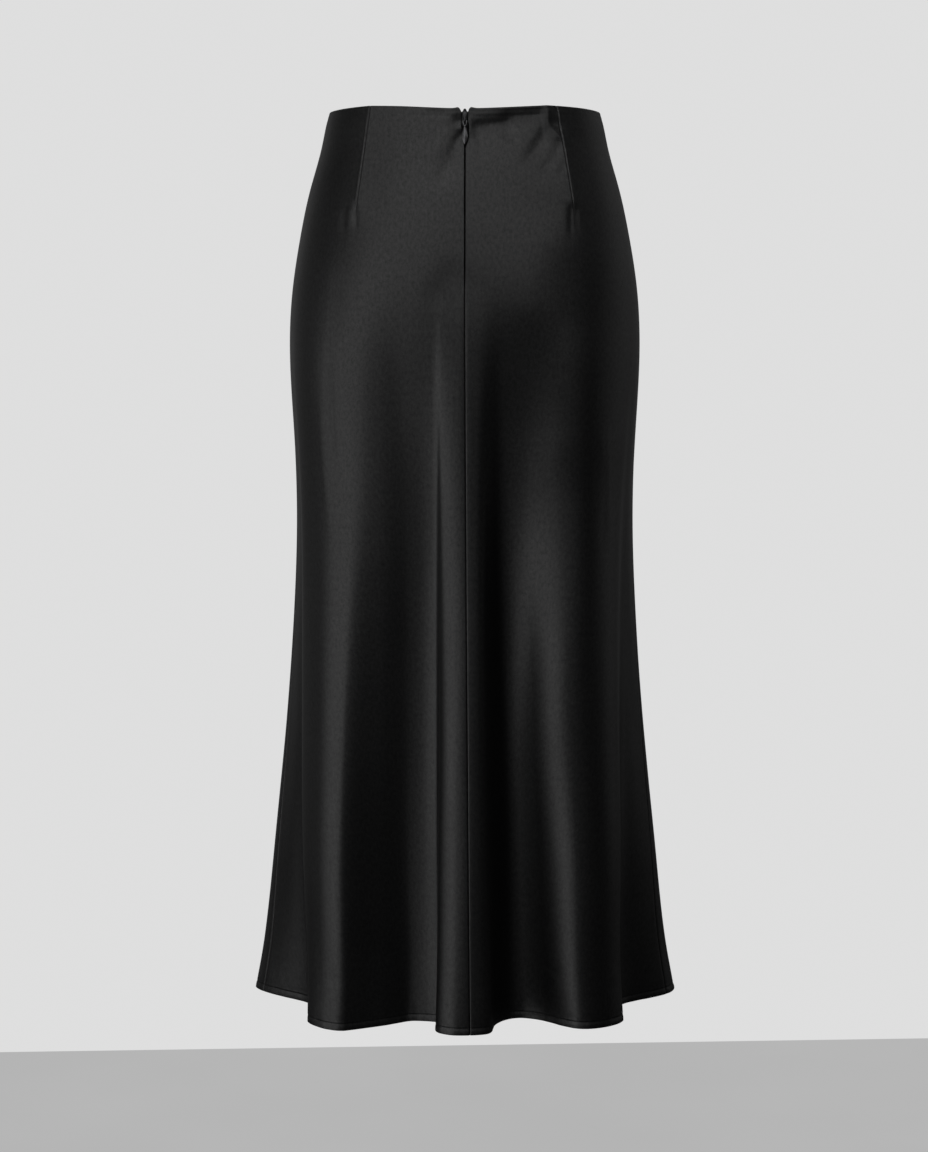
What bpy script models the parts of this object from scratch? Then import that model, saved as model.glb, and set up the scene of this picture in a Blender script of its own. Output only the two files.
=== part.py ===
"""Column skirt with a gently fluted hem: satin, closed at the centre back with an invisible zip.

Frame: metres, +Z up, origin at the middle of the waist where the wearer holds the skirt.
-Y is the wearer's back (the zip side), +Y the front, -X the wearer's left.

The cloth is one surface.  Its smooth sections come from SECTIONS, a row for each height, and its
flutes from FOLDS, a row for each line of a fold.  The panels are cut from that surface, and each
is a thin wall round the hollow.
"""
import math

import bmesh
import bpy
import numpy as np
from mathutils import Vector

# ---------------------------------------------------------------- driving sizes
LENGTH = 0.900            # waist to hem, at the centre back
WALL = 0.0012             # cloth, one thickness
SEAM_GAP = 0.0003         # between two cut pieces
COLUMNS_BACK = 31         # faces round each back panel
COLUMNS_FRONT = 34        # faces round the front panel
ZIP_TOP = -0.0215         # top and bottom of the zip's tapes
ZIP_END = -0.1880
ZIP_HALF = 0.0110
ZIP_THICK = 0.0010
PULL_AXIS = (0.0, -0.0932, -0.0176)   # the slider's bridge, which the pull swings on
PULL_LEAN = math.radians(8.0)         # the pull rests along the slope of the cloth
PULL_LONG = 0.0235
PULL_WIDE = 0.0054
PULL_THICK = 0.0011

# Smooth sections.  deep_back and deep_front are measured from the origin's plane, and square
# pushes the corners of the oval out.
SECTION_COLUMNS = ("height", "half_width", "deep_back", "deep_front", "square")
SECTIONS = [
    (0.004, 0.1300, 0.0880, 0.0860, 0.020),
    (-0.012, 0.1355, 0.0900, 0.0875, 0.020),
    (-0.040, 0.1418, 0.0945, 0.0900, 0.020),
    (-0.080, 0.1530, 0.1030, 0.0940, 0.022),
    (-0.130, 0.1640, 0.1120, 0.0985, 0.024),
    (-0.180, 0.1717, 0.1165, 0.1020, 0.025),
    (-0.240, 0.1747, 0.1155, 0.1035, 0.025),
    (-0.320, 0.1712, 0.1100, 0.1020, 0.022),
    (-0.410, 0.1688, 0.1060, 0.1010, 0.020),
    (-0.510, 0.1727, 0.1070, 0.1030, 0.015),
    (-0.630, 0.1822, 0.1110, 0.1080, 0.010),
    (-0.760, 0.1962, 0.1170, 0.1150, 0.005),
    (-0.860, 0.2090, 0.1230, 0.1220, 0.000),
    (-0.906, 0.2185, 0.1260, 0.1260, 0.000),
]
HIP, FOLD_START = -0.240, -0.170
KNEE, HEM = -0.550, -0.900
FOLD_POWER = 1.5

# Lines of the folds, anticlockwise from the centre-back seam, seen from above.  around is the
# share of the hip's girth where the line starts, then where it lies at the knee and at the hem.
FOLD_COLUMNS = ("name", "around", "knee_x", "knee_y", "hem_x", "hem_y")
FOLDS = [
    ("centre_back", 0.000, 0.0020, -0.1300, 0.0050, -0.1650),
    ("centre_right_turn", 0.013, 0.0150, -0.1270, 0.0230, -0.1590),
    ("centre_right_wall", 0.026, 0.0270, -0.1060, 0.0310, -0.1240),
    ("right_valley", 0.038, 0.0410, -0.0900, 0.0530, -0.1000),
    ("right_rise", 0.068, 0.0670, -0.0990, 0.0840, -0.1150),
    ("right_crest", 0.115, 0.1020, -0.1110, 0.1130, -0.1380),
    ("right_turn", 0.165, 0.1380, -0.0940, 0.1450, -0.1270),
    ("right_edge", 0.199, 0.1525, -0.0660, 0.1570, -0.1040),
    ("right_root", 0.214, 0.1560, -0.0460, 0.1515, -0.0640),
    ("right_flare", 0.230, 0.1655, -0.0280, 0.1790, -0.0270),
    ("side_right", 0.250, 0.1745, -0.0050, 0.2075, -0.0030),
    ("right_tip", 0.264, 0.1760, 0.0090, 0.2170, 0.0180),
    ("front_right_side", 0.290, 0.1640, 0.0420, 0.1960, 0.0560),
    ("front_right_valley", 0.325, 0.1400, 0.0640, 0.1600, 0.0700),
    ("front_right_crest", 0.375, 0.1050, 0.1030, 0.1280, 0.1270),
    ("front_mid_valley_r", 0.430, 0.0600, 0.0930, 0.0720, 0.0970),
    ("front_mid_crest", 0.490, 0.0120, 0.1190, 0.0160, 0.1480),
    ("front_mid_valley_l", 0.555, -0.0420, 0.0950, -0.0480, 0.0990),
    ("front_left_crest", 0.610, -0.0920, 0.1070, -0.1060, 0.1360),
    ("front_left_valley", 0.670, -0.1370, 0.0680, -0.1560, 0.0720),
    ("front_left_side", 0.710, -0.1640, 0.0400, -0.1960, 0.0540),
    ("left_tip", 0.737, -0.1760, 0.0080, -0.2170, 0.0180),
    ("side_left", 0.750, -0.1745, -0.0050, -0.2075, -0.0030),
    ("left_flare", 0.769, -0.1670, -0.0280, -0.1790, -0.0300),
    ("left_root", 0.784, -0.1610, -0.0440, -0.1500, -0.0640),
    ("left_edge", 0.797, -0.1605, -0.0620, -0.1560, -0.1060),
    ("left_turn", 0.830, -0.1440, -0.0900, -0.1430, -0.1270),
    ("left_crest", 0.882, -0.1150, -0.1110, -0.1170, -0.1370),
    ("left_fall", 0.912, -0.0850, -0.1020, -0.0830, -0.1200),
    ("left_valley", 0.9355, -0.0580, -0.0900, -0.0560, -0.1010),
    ("centre_left_lip", 0.960, -0.0340, -0.0960, -0.0310, -0.1075),
    ("centre_crease", 0.968, -0.0265, -0.1010, -0.0225, -0.1150),
    ("centre_left_edge", 0.976, -0.0225, -0.1180, -0.0285, -0.1490),
    ("centre_left_turn", 0.987, -0.0120, -0.1275, -0.0150, -0.1635),
]
# The mouth of the zip, in mm: drop below the waist's edge, and half of its width.  It is a V at
# the top, is held open by the slider, and closes below the pull.
MOUTH_COLUMNS = ("name", "drop", "half_width")
MOUTH = [("corner", 0.0, 5.8), ("slider", 4.0, 3.4), ("prongs", 16.5, 3.4), ("drop", 26.0, 3.0), ("closed", 37.5, 0.0)]


# ---------------------------------------------------------------- splines
def spline(knots, values, at):
    """Natural cubic spline through rows of values."""
    knots, values = np.asarray(knots, float), np.asarray(values, float)
    n, h = len(knots), np.diff(knots)
    a, r = np.zeros((n, n)), np.zeros((n, values.shape[1]))
    a[0, 0] = a[-1, -1] = 1.0
    for i in range(1, n - 1):
        a[i, i - 1:i + 2] = h[i - 1], 2 * (h[i - 1] + h[i]), h[i]
        r[i] = 6 * ((values[i + 1] - values[i]) / h[i] - (values[i] - values[i - 1]) / h[i - 1])
    m = np.linalg.solve(a, r)
    k = np.clip(np.searchsorted(knots, at) - 1, 0, n - 2)
    hk = h[k][:, None]
    p, q = (knots[k + 1] - at)[:, None] / hk, (at - knots[k])[:, None] / hk
    return p * values[k] + q * values[k + 1] + ((p**3 - p) * m[k] + (q**3 - q) * m[k + 1]) * hk**2 / 6


def ring_spline(knots, values, at):
    """Cubic spline through rows of values that close on themselves after 1."""
    n, h = len(knots), np.diff(np.append(knots, knots[0] + 1))
    a, r = np.zeros((n, n)), np.zeros((n, values.shape[1]))
    for i in range(n):
        before, after = (i - 1) % n, (i + 1) % n
        a[i, before] += h[before]
        a[i, i] += 2 * (h[before] + h[i])
        a[i, after] += h[i]
        r[i] = 6 * ((values[after] - values[i]) / h[i] - (values[i] - values[before]) / h[before])
    m = np.linalg.solve(a, r)
    at = np.mod(at - knots[0], 1.0) + knots[0]
    k = np.clip(np.searchsorted(knots, at, side="right") - 1, 0, n - 1)
    nxt, hk = (k + 1) % n, h[k][:, None]
    q = (at - knots[k])[:, None] / hk
    p = 1 - q
    return p * values[k] + q * values[nxt] + ((p**3 - p) * m[k] + (q**3 - q) * m[nxt]) * hk**2 / 6


def rising(knots, values, at):
    """Cubic through rising values that never turns back."""
    h = np.diff(knots)
    slope = np.diff(values) / h
    before, after = np.append(slope[-1:], slope), np.append(slope, slope[:1])
    hb, ha = np.append(h[-1:], h), np.append(h, h[:1])
    w1, w2 = 2 * ha + hb, ha + 2 * hb
    m = (w1 + w2) / (w1 / before + w2 / after)
    k = np.clip(np.searchsorted(knots, at, side="right") - 1, 0, len(h) - 1)
    t = (at - knots[k]) / h[k]
    return ((2 * t**3 - 3 * t**2 + 1) * values[k] + (t**3 - 2 * t**2 + t) * h[k] * m[k]
            + (3 * t**2 - 2 * t**3) * values[k + 1] + (t**3 - t**2) * h[k] * m[k + 1])


# ---------------------------------------------------------------- the cloth's surface
section_table = np.array(SECTIONS)
fold_names = [row[0] for row in FOLDS]
fold_table = np.array([row[1:] for row in FOLDS])


def oval(angle, height):
    """Smooth section: angle 0 is the centre back, a quarter turn the right side."""
    w, back, front, k = spline(-section_table[:, 0], section_table[:, 1:], -height).T
    x = w * (np.sin(angle) + k * np.sin(3 * angle)) / (1 - k)
    c = (np.cos(angle) - k * np.cos(3 * angle)) / (1 - k)
    return np.stack([x, np.where(c > 0, -back * c, -front * c)], -1)


turn = np.linspace(0, 2 * math.pi, 2881)
hip_ring = oval(turn, np.full_like(turn, HIP))
hip_run = np.append(0.0, np.cumsum(np.linalg.norm(np.diff(hip_ring, axis=0), axis=1)))
QUARTERS = np.interp(np.linspace(0, 2 * math.pi, 5), turn, hip_run)


def hip_angle(share):
    """Angle of a share of the hip's girth, each quarter counting the same."""
    run = np.interp(np.mod(share, 1.0), np.linspace(0, 1, 5), QUARTERS)
    return np.interp(run, hip_run, turn)


hem_ring = fold_table[:, -2:]
hem_steps = np.linalg.norm(np.roll(hem_ring, -1, axis=0) - hem_ring, axis=1)
fold_u = np.append(0.0, np.cumsum(hem_steps))[:-1] / hem_steps.sum()
fold_at = dict(zip(fold_names, fold_u))
fold_angles = hip_angle(fold_table[:, 0])
stations = (KNEE, HEM)
station_t = [(FOLD_START - z) / (FOLD_START - HEM) for z in stations]
pushes = [fold_table[:, 1 + 2 * k:3 + 2 * k] - oval(fold_angles, np.full(len(FOLDS), z))
          for k, z in enumerate(stations)]


def hip_share(u):
    """Share of the hip's girth where the line through u starts."""
    return rising(np.append(fold_u, 1.0), np.append(fold_table[:, 0], 1.0), np.mod(u, 1.0))


def surface(u, z):
    """Middle of the cloth: u runs once round from the centre back, z is the height."""
    u, z = np.broadcast_arrays(np.asarray(u, float), np.asarray(z, float))
    shape, u, z = u.shape, np.mod(u.ravel(), 1.0), z.ravel()
    t = np.clip((FOLD_START - z) / (FOLD_START - HEM), 0, None)[:, None]
    xy = oval(hip_angle(hip_share(u)), z)
    for push, here in zip(pushes, station_t):
        weight = (t / here) ** FOLD_POWER
        for other in station_t:
            if other != here:
                weight = weight * (t - other) / (here - other)
        xy = xy + weight * ring_spline(fold_u, push, u)
    return np.concatenate([xy, z[:, None]], 1).reshape(shape + (3,))


def normal(u, z, step=1e-4):
    """Outward unit normal of the surface."""
    across = surface(u + step, z) - surface(u - step, z)
    down = surface(u, z - 1e-3) - surface(u, z + 1e-3)
    n = np.cross(down, across)
    return n / np.linalg.norm(n, axis=-1, keepdims=True)


def top_height(u):
    """The waist's edge: highest halfway to each side, a little lower at the seams."""
    return -0.0043 - 0.0015 * np.cos(8 * math.pi * hip_share(u))


def hem_height(u):
    """The hem hangs level, but for a millimetre or two in its flutes."""
    u = np.asarray(u, float)
    return -LENGTH + 0.0012 * np.sin(2 * math.pi * (3 * u + 0.12)) + 0.0008 * np.sin(2 * math.pi * (5 * u + 0.4))


mouth_table = np.array([row[1:] for row in MOUTH]) / 1000

# rows of faces: close together at the zip's mouth, then about 48 mm apart
DROPS = list(mouth_table[:, 0]) + list(np.linspace(0.078, LENGTH, 18))


def row_height(u, drop):
    """Height of a row of points that starts level with the waist and ends at the hem."""
    share = np.clip(drop / LENGTH, 0, 1)
    return top_height(u) * (1 - share) + (hem_height(u) + LENGTH) * share - drop


def mouth(drop):
    """Half the width of the zip's mouth."""
    return float(np.interp(drop, mouth_table[:, 0], mouth_table[:, 1]))


# ---------------------------------------------------------------- objects
for old in list(bpy.data.objects):
    bpy.data.objects.remove(old, do_unlink=True)
parts = bpy.data.collections.new("column_skirt")
cutters = bpy.data.collections.new("column_skirt_cutters")
bpy.context.scene.collection.children.link(parts)
bpy.context.scene.collection.children.link(cutters)


def finish(name, colour, roughness, metallic):
    mat = bpy.data.materials.new(name)
    mat.use_nodes = True
    shader = mat.node_tree.nodes["Principled BSDF"]
    shader.inputs["Base Color"].default_value = (*colour, 1.0)
    shader.inputs["Roughness"].default_value = roughness
    shader.inputs["Metallic"].default_value = metallic
    mat.diffuse_color = (*colour, 1.0)
    return mat


def add(name, mesh, mat, collection=None):
    obj = bpy.data.objects.new(name, mesh)
    (collection or parts).objects.link(obj)
    obj.data.materials.clear()
    obj.data.materials.append(mat)
    return obj


def grid_mesh(name, grid):
    """Open sheet of four-sided faces through a grid of points, facing out."""
    rows, cols = grid.shape[:2]
    bm = bmesh.new()
    verts = [[bm.verts.new(Vector(grid[r, c])) for c in range(cols)] for r in range(rows)]
    for r in range(rows - 1):
        for c in range(cols - 1):
            bm.faces.new((verts[r][c], verts[r + 1][c], verts[r + 1][c + 1], verts[r][c + 1]))
    mesh = bpy.data.meshes.new(name)
    bm.to_mesh(mesh)
    bm.free()
    mesh.shade_smooth()
    return mesh


def panel(name, u_from, u_to, columns, mat, zip_from=False, zip_to=False):
    """One cut piece, its edges drawn back by half the seam gap, and by the zip's mouth."""
    grid = []
    for drop in DROPS:
        ends = []
        for u, side, cut in ((u_from, 1, zip_from), (u_to, -1, zip_to)):
            z = float(row_height(np.array(u), drop))
            run = np.linalg.norm(surface(u + 2e-4, z) - surface(u - 2e-4, z)) / 4e-4
            ends.append(u + side * (SEAM_GAP / 2 + (mouth(drop) if cut else 0.0)) / run)
        u = np.linspace(ends[0], ends[1], columns + 1)
        grid.append(surface(u, row_height(u, drop)))
    obj = add(name, grid_mesh(name, np.array(grid)), mat)
    wall = obj.modifiers.new("wall", "SOLIDIFY")
    wall.thickness, wall.offset = WALL, 0.0
    return obj


satin_front = finish("black satin, front", (0.012, 0.012, 0.013), 0.38, 0.0)
satin_left = finish("black satin, back left", (0.012, 0.012, 0.013), 0.38, 0.0)
satin_right = finish("black satin, back right", (0.012, 0.012, 0.013), 0.38, 0.0)
tape = finish("black zip tape", (0.010, 0.010, 0.011), 0.80, 0.0)
slider_metal = finish("black lacquered slider", (0.020, 0.020, 0.022), 0.35, 0.6)
pull_metal = finish("dark satin pull", (0.060, 0.060, 0.065), 0.32, 0.9)

u_right, u_left = float(fold_at["side_right"]), float(fold_at["side_left"])
panel("back_panel_right", 0.0, u_right, COLUMNS_BACK, satin_right, zip_from=True)
panel("front_panel", u_right, u_left, COLUMNS_FRONT, satin_front)
panel("back_panel_left", u_left, 1.0, COLUMNS_BACK, satin_left, zip_to=True)

# zip tapes: the panels' own surface, moved in behind the centre-back seam
tape_rows = []
top = float(top_height(np.array(0.0)))
for drop in [top - ZIP_TOP] + [d for d in DROPS if 0.02 < d < -ZIP_END - 0.02] + [top - ZIP_END]:
    z = float(row_height(np.array(0.0), drop))
    run = np.linalg.norm(surface(2e-4, z) - surface(-2e-4, z)) / 4e-4
    u = np.linspace(-ZIP_HALF, ZIP_HALF, 7) / run
    inward = WALL / 2 + 0.0004 + ZIP_THICK / 2
    tape_rows.append(surface(u, row_height(u, drop)) - inward * normal(u, row_height(u, drop)))
chain = add("zip_chain", grid_mesh("zip_chain", np.array(tape_rows)), tape)
chain_wall = chain.modifiers.new("wall", "SOLIDIFY")
chain_wall.thickness, chain_wall.offset = ZIP_THICK, 0.0


def plate(name, outline, thick, holes=()):
    """Flat plate in the local XY plane with an outline of points, as a welded mesh."""
    curve = bpy.data.curves.new(name + "_outline", "CURVE")
    curve.dimensions, curve.fill_mode, curve.extrude = "2D", "BOTH", thick / 2
    for points in (outline, *holes):
        line = curve.splines.new("POLY")
        line.points.add(len(points) - 1)
        for point, (x, y) in zip(line.points, points):
            point.co = (x, y, 0.0, 1.0)
        line.use_cyclic_u = True
    guide = bpy.data.objects.new(name + "_guide", curve)
    cutters.objects.link(guide)
    bpy.context.view_layer.update()
    mesh = bpy.data.meshes.new_from_object(guide.evaluated_get(bpy.context.evaluated_depsgraph_get()))
    bpy.data.objects.remove(guide, do_unlink=True)
    bm = bmesh.new()
    bm.from_mesh(mesh)
    bmesh.ops.remove_doubles(bm, verts=bm.verts, dist=1e-6)
    bmesh.ops.recalc_face_normals(bm, faces=bm.faces)
    bm.to_mesh(mesh)
    bm.free()
    return mesh


def arc(cx, cy, radius, start, end, count):
    return [(cx + radius * math.cos(math.radians(start + (end - start) * i / count)),
             cy + radius * math.sin(math.radians(start + (end - start) * i / count)))
            for i in range(count + 1)]


# slider: a body inside the skirt, and a bridge that comes out through the mouth and ends in an eye
# for the pull's pin.  The bridge's outline is drawn in (out, up) from the eye and stood on edge.
BRIDGE_WIDE, EYE, EYE_HOLE = 0.0020, 0.00145, 0.00080
bridge_outline = arc(0, 0, EYE, -150, 62, 14) + [
    (-0.0007, 0.0045), (-0.0016, 0.0086), (-0.0028, 0.0116), (-0.0058, 0.0122),
    (-0.0066, 0.0118), (-0.0066, 0.0058), (-0.0044, 0.0052), (-0.0024, 0.0030)]
bridge_mesh = plate("bridge", bridge_outline, BRIDGE_WIDE, [arc(0, 0, EYE_HOLE, 0, 330, 11)])
slider = add("zip_slider", bridge_mesh, slider_metal)
slider.location = PULL_AXIS
slider.rotation_euler = (math.radians(90), 0.0, math.radians(-90))
bpy.context.view_layer.update()

bm = bmesh.new()
bmesh.ops.create_cube(bm, size=1.0)
bmesh.ops.scale(bm, vec=(0.0064, 0.0028, 0.0092), verts=bm.verts)
bmesh.ops.bevel(bm, geom=list(bm.edges), offset=0.0009, segments=2, affect="EDGES", profile=0.5)
body_mesh = bpy.data.meshes.new("slider_body")
bm.to_mesh(body_mesh)
bm.free()
body = add("slider_body_guide", body_mesh, slider_metal, cutters)
body.location = (0.0, -0.0860, -0.0092)
body.hide_render, body.display_type = True, "WIRE"
join = slider.modifiers.new("body", "BOOLEAN")
join.operation, join.solver, join.object = "UNION", "EXACT", body

# pull: two prongs on a pin through the eye, widening to a drop
PRONG_IN, PRONG_OUT = 0.0013, 0.0022
half = PULL_WIDE / 2
drop_side = [(PRONG_OUT, 0.0007), (PRONG_OUT, -0.0030), (0.0019, -0.0052), (0.0017, -0.0072),
             (0.0019, -0.0096), (0.0024, -0.0126), (half, -0.0152), (0.0026, -0.0178),
             (0.0019, -0.0206), (0.0010, -0.0228)]
outline = ([(PRONG_IN, 0.0007)] + drop_side + [(0.0, -PULL_LONG)]
           + [(-x, y) for x, y in reversed(drop_side)] + [(-PRONG_IN, 0.0007)]
           + [(-PRONG_IN, -0.0021), (PRONG_IN, -0.0021)])
pull = add("zip_pull", plate("zip_pull", outline, PULL_THICK), pull_metal)
pull.location = PULL_AXIS
pull.rotation_euler = (math.radians(90) - PULL_LEAN, 0.0, 0.0)
bpy.context.view_layer.update()
bm = bmesh.new()
bmesh.ops.create_cone(bm, cap_ends=True, segments=12, radius1=0.00042, radius2=0.00042,
                      depth=2 * PRONG_OUT - 0.0004)
pin_mesh = bpy.data.meshes.new("pull_pin")
bm.to_mesh(pin_mesh)
bm.free()
pin = add("pull_pin_guide", pin_mesh, pull_metal, cutters)
pin.location = PULL_AXIS
pin.rotation_euler = (0.0, math.radians(90), 0.0)
pin.hide_render, pin.display_type = True, "WIRE"
join = pull.modifiers.new("pin", "BOOLEAN")
join.operation, join.solver, join.object = "UNION", "EXACT", pin
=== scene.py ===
"""Looks of the column skirt: black satin, seen from the centre-back zip.

Metres, +Z up, origin at the middle of the waist.  -Y is the wearer's back, +X is on the right of
the view.  The cloth repeats the model's own surface (SECTIONS and FOLDS), with the seams, darts,
turned edges and creases worked into it as real shape.
"""

import math

import bpy
import numpy as np
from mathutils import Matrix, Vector


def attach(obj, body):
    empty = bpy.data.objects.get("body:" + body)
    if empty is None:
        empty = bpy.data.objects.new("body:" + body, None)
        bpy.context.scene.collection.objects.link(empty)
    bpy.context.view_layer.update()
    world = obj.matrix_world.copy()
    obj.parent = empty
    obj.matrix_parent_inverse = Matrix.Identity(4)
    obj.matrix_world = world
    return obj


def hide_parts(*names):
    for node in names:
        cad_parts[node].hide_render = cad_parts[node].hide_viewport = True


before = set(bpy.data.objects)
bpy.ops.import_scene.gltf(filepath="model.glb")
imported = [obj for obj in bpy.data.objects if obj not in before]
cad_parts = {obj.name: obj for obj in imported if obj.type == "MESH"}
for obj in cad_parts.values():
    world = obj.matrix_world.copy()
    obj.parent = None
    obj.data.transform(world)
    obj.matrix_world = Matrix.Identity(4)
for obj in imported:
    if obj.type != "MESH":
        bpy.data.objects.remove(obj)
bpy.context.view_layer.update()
scene = bpy.context.scene
TAU = 2 * math.pi

# ================================================================ camera
EYE = (-0.0008, -2.75, -0.15)
PITCH = 6.61                     # degrees down
camera_data = bpy.data.cameras.new("camera")
camera_data.sensor_width = 36.0
camera_data.lens = 85.44
camera_data.clip_end = 60.0
camera = bpy.data.objects.new("camera", camera_data)
camera.location = EYE
camera.rotation_euler = (math.radians(90 - PITCH), 0.0, 0.0)
scene.collection.objects.link(camera)
scene.camera = camera

# ================================================================ the cloth's surface
LENGTH = 0.900
SEAM_HALF = 0.00010              # half the gap that is left where two panels are sewn together
ZIP_TOP, ZIP_END = -0.0215, -0.1880
PULL_AXIS = Vector((0.0, -0.0932, -0.0176))
PULL_LEAN = math.radians(8.0)

# height, half_width, deep_back, deep_front, square
SECTIONS = [
    (0.004, 0.1300, 0.0880, 0.0860, 0.020),
    (-0.012, 0.1355, 0.0900, 0.0875, 0.020),
    (-0.040, 0.1418, 0.0945, 0.0900, 0.020),
    (-0.080, 0.1530, 0.1030, 0.0940, 0.022),
    (-0.130, 0.1640, 0.1120, 0.0985, 0.024),
    (-0.180, 0.1717, 0.1165, 0.1020, 0.025),
    (-0.240, 0.1747, 0.1155, 0.1035, 0.025),
    (-0.320, 0.1712, 0.1100, 0.1020, 0.022),
    (-0.410, 0.1688, 0.1060, 0.1010, 0.020),
    (-0.510, 0.1727, 0.1070, 0.1030, 0.015),
    (-0.630, 0.1822, 0.1110, 0.1080, 0.010),
    (-0.760, 0.1962, 0.1170, 0.1150, 0.005),
    (-0.860, 0.2090, 0.1230, 0.1220, 0.000),
    (-0.906, 0.2185, 0.1260, 0.1260, 0.000),
]
HIP, FOLD_START = -0.240, -0.170
STATIONS = (-0.550, -0.900)      # knee and hem
HEM = STATIONS[-1]
# name, around the hip, then x and y at the knee and at the hem
FOLDS = [
    ("centre_back", 0.000, 0.0020, -0.1300, 0.0050, -0.1650),
    ("centre_right_turn", 0.013, 0.0150, -0.1270, 0.0230, -0.1590),
    ("centre_right_wall", 0.026, 0.0270, -0.1060, 0.0310, -0.1240),
    ("right_valley", 0.038, 0.0410, -0.0900, 0.0530, -0.1000),
    ("right_rise", 0.068, 0.0670, -0.0990, 0.0840, -0.1150),
    ("right_crest", 0.115, 0.1020, -0.1110, 0.1130, -0.1380),
    ("right_turn", 0.165, 0.1380, -0.0940, 0.1450, -0.1270),
    ("right_edge", 0.199, 0.1525, -0.0660, 0.1570, -0.1040),
    ("right_root", 0.214, 0.1560, -0.0460, 0.1515, -0.0640),
    ("right_flare", 0.230, 0.1655, -0.0280, 0.1790, -0.0270),
    ("side_right", 0.250, 0.1745, -0.0050, 0.2075, -0.0030),
    ("right_tip", 0.264, 0.1760, 0.0090, 0.2170, 0.0180),
    ("front_right_side", 0.290, 0.1640, 0.0420, 0.1960, 0.0560),
    ("front_right_valley", 0.325, 0.1400, 0.0640, 0.1600, 0.0700),
    ("front_right_crest", 0.375, 0.1050, 0.1030, 0.1280, 0.1270),
    ("front_mid_valley_r", 0.430, 0.0600, 0.0930, 0.0720, 0.0970),
    ("front_mid_crest", 0.490, 0.0120, 0.1190, 0.0160, 0.1480),
    ("front_mid_valley_l", 0.555, -0.0420, 0.0950, -0.0480, 0.0990),
    ("front_left_crest", 0.610, -0.0920, 0.1070, -0.1060, 0.1360),
    ("front_left_valley", 0.670, -0.1370, 0.0680, -0.1560, 0.0720),
    ("front_left_side", 0.710, -0.1640, 0.0400, -0.1960, 0.0540),
    ("left_tip", 0.737, -0.1760, 0.0080, -0.2170, 0.0180),
    ("side_left", 0.750, -0.1745, -0.0050, -0.2075, -0.0030),
    ("left_flare", 0.769, -0.1670, -0.0280, -0.1790, -0.0300),
    ("left_root", 0.784, -0.1610, -0.0440, -0.1500, -0.0640),
    ("left_edge", 0.797, -0.1605, -0.0620, -0.1560, -0.1060),
    ("left_turn", 0.830, -0.1440, -0.0900, -0.1430, -0.1270),
    ("left_crest", 0.882, -0.1150, -0.1110, -0.1170, -0.1370),
    ("left_fall", 0.912, -0.0850, -0.1020, -0.0830, -0.1200),
    ("left_valley", 0.9355, -0.0580, -0.0900, -0.0560, -0.1010),
    ("centre_left_lip", 0.960, -0.0340, -0.0960, -0.0310, -0.1075),
    ("centre_crease", 0.968, -0.0265, -0.1010, -0.0225, -0.1150),
    ("centre_left_edge", 0.976, -0.0225, -0.1180, -0.0285, -0.1490),
    ("centre_left_turn", 0.987, -0.0120, -0.1275, -0.0150, -0.1635),
]


def spline(knots, values, at):
    """Natural cubic spline through rows of values."""
    knots, values = np.asarray(knots, float), np.asarray(values, float)
    n, h = len(knots), np.diff(knots)
    a, r = np.zeros((n, n)), np.zeros((n, values.shape[1]))
    a[0, 0] = a[-1, -1] = 1.0
    for i in range(1, n - 1):
        a[i, i - 1:i + 2] = h[i - 1], 2 * (h[i - 1] + h[i]), h[i]
        r[i] = 6 * ((values[i + 1] - values[i]) / h[i] - (values[i] - values[i - 1]) / h[i - 1])
    m = np.linalg.solve(a, r)
    k = np.clip(np.searchsorted(knots, at) - 1, 0, n - 2)
    hk = h[k][:, None]
    p, q = (knots[k + 1] - at)[:, None] / hk, (at - knots[k])[:, None] / hk
    return p * values[k] + q * values[k + 1] + ((p**3 - p) * m[k] + (q**3 - q) * m[k + 1]) * hk**2 / 6


def ring_spline(knots, values, at):
    """Cubic spline through rows of values that close on themselves after 1."""
    n, h = len(knots), np.diff(np.append(knots, knots[0] + 1))
    a, r = np.zeros((n, n)), np.zeros((n, values.shape[1]))
    for i in range(n):
        before, after = (i - 1) % n, (i + 1) % n
        a[i, before] += h[before]
        a[i, i] += 2 * (h[before] + h[i])
        a[i, after] += h[i]
        r[i] = 6 * ((values[after] - values[i]) / h[i] - (values[i] - values[before]) / h[before])
    m = np.linalg.solve(a, r)
    at = np.mod(at - knots[0], 1.0) + knots[0]
    k = np.clip(np.searchsorted(knots, at, side="right") - 1, 0, n - 1)
    nxt, hk = (k + 1) % n, h[k][:, None]
    q = (at - knots[k])[:, None] / hk
    p = 1 - q
    return p * values[k] + q * values[nxt] + ((p**3 - p) * m[k] + (q**3 - q) * m[nxt]) * hk**2 / 6


def rising(knots, values, at):
    """Cubic through rising values that never turns back."""
    h = np.diff(knots)
    slope = np.diff(values) / h
    before, after = np.append(slope[-1:], slope), np.append(slope, slope[:1])
    hb, ha = np.append(h[-1:], h), np.append(h, h[:1])
    w1, w2 = 2 * ha + hb, ha + 2 * hb
    m = (w1 + w2) / (w1 / before + w2 / after)
    k = np.clip(np.searchsorted(knots, at, side="right") - 1, 0, len(h) - 1)
    t = (at - knots[k]) / h[k]
    return ((2 * t**3 - 3 * t**2 + 1) * values[k] + (t**3 - 2 * t**2 + t) * h[k] * m[k]
            + (3 * t**2 - 2 * t**3) * values[k + 1] + (t**3 - t**2) * h[k] * m[k + 1])


section_table = np.array(SECTIONS)
fold_table = np.array([row[1:] for row in FOLDS])


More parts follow.
